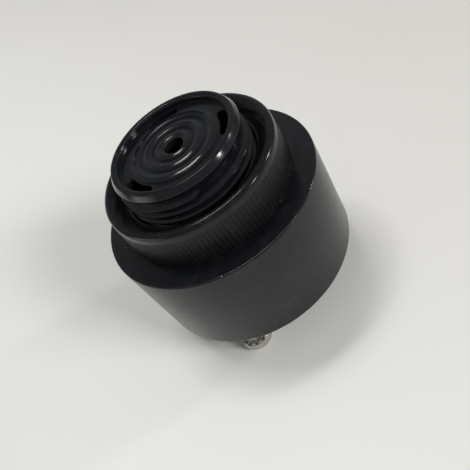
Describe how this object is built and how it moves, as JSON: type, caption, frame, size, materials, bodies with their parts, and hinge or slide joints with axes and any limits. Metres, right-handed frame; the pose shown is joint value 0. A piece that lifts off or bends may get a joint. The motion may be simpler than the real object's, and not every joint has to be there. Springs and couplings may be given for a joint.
{
  "type": "piezo buzzer",
  "caption": "Round black panel-mount piezo buzzer: threaded bushing with a ringed, slotted sounding face, knurled clamping ring and rear screw terminals.",
  "frame": {"origin": "centre of the flange face that seats against the back of the panel", "axes": "+Z along the bushing's axis, out of the sounding face"},
  "size_m": [0.043, 0.043, 0.042],
  "materials": {
    "housing_plastic": "satin black moulded plastic",
    "ring_plastic": "semi-gloss black moulded plastic",
    "cover_plastic": "matt black moulded plastic",
    "plated_brass": "nickel plated",
    "plated_steel": "nickel plated",
    "white_silicone": "cured silicone",
    "diaphragm_brass": "rolled brass",
    "piezo_ceramic": "fired ceramic",
    "silver_film": "fired silver film",
    "board_laminate": "lacquered laminate",
    "moulded_epoxy": "moulded epoxy",
    "resistor_lacquer": "lacquer",
    "capacitor_sleeve": "shrunk sleeve",
    "red_insulation": "insulation",
    "blue_insulation": "insulation",
    "black_insulation": "insulation"
  },
  "bodies": {
    "buzzer": {"housing": "housing_plastic", "rear_cover": "cover_plastic", "terminal_post_plus": "plated_brass", "terminal_post_minus": "plated_brass", "terminal_screw_plus": "plated_steel", "terminal_screw_minus": "plated_steel", "lock_washer_plus": "plated_steel", "lock_washer_minus": "plated_steel", "adhesive_ring": "white_silicone", "piezo_plate": "diaphragm_brass", "piezo_ceramic": "piezo_ceramic", "drive_electrode": "silver_film", "feedback_electrode": "silver_film", "circuit_board": "board_laminate", "transistor": "moulded_epoxy", "polarity_diode": "moulded_epoxy", "base_resistor": "resistor_lacquer", "bias_resistor": "resistor_lacquer", "load_resistor": "resistor_lacquer", "filter_capacitor": "capacitor_sleeve", "drive_wire": "red_insulation", "feedback_wire": "blue_insulation", "ground_wire": "black_insulation"},
    "ring": {"ring_nut": "ring_plastic"}
  },
  "joints": [
    {"name": "ring_unscrew", "type": "slide", "parent": "buzzer", "child": "ring", "axis": [0, 0, 1], "range_m": [0, 0.0145]}
  ]
}
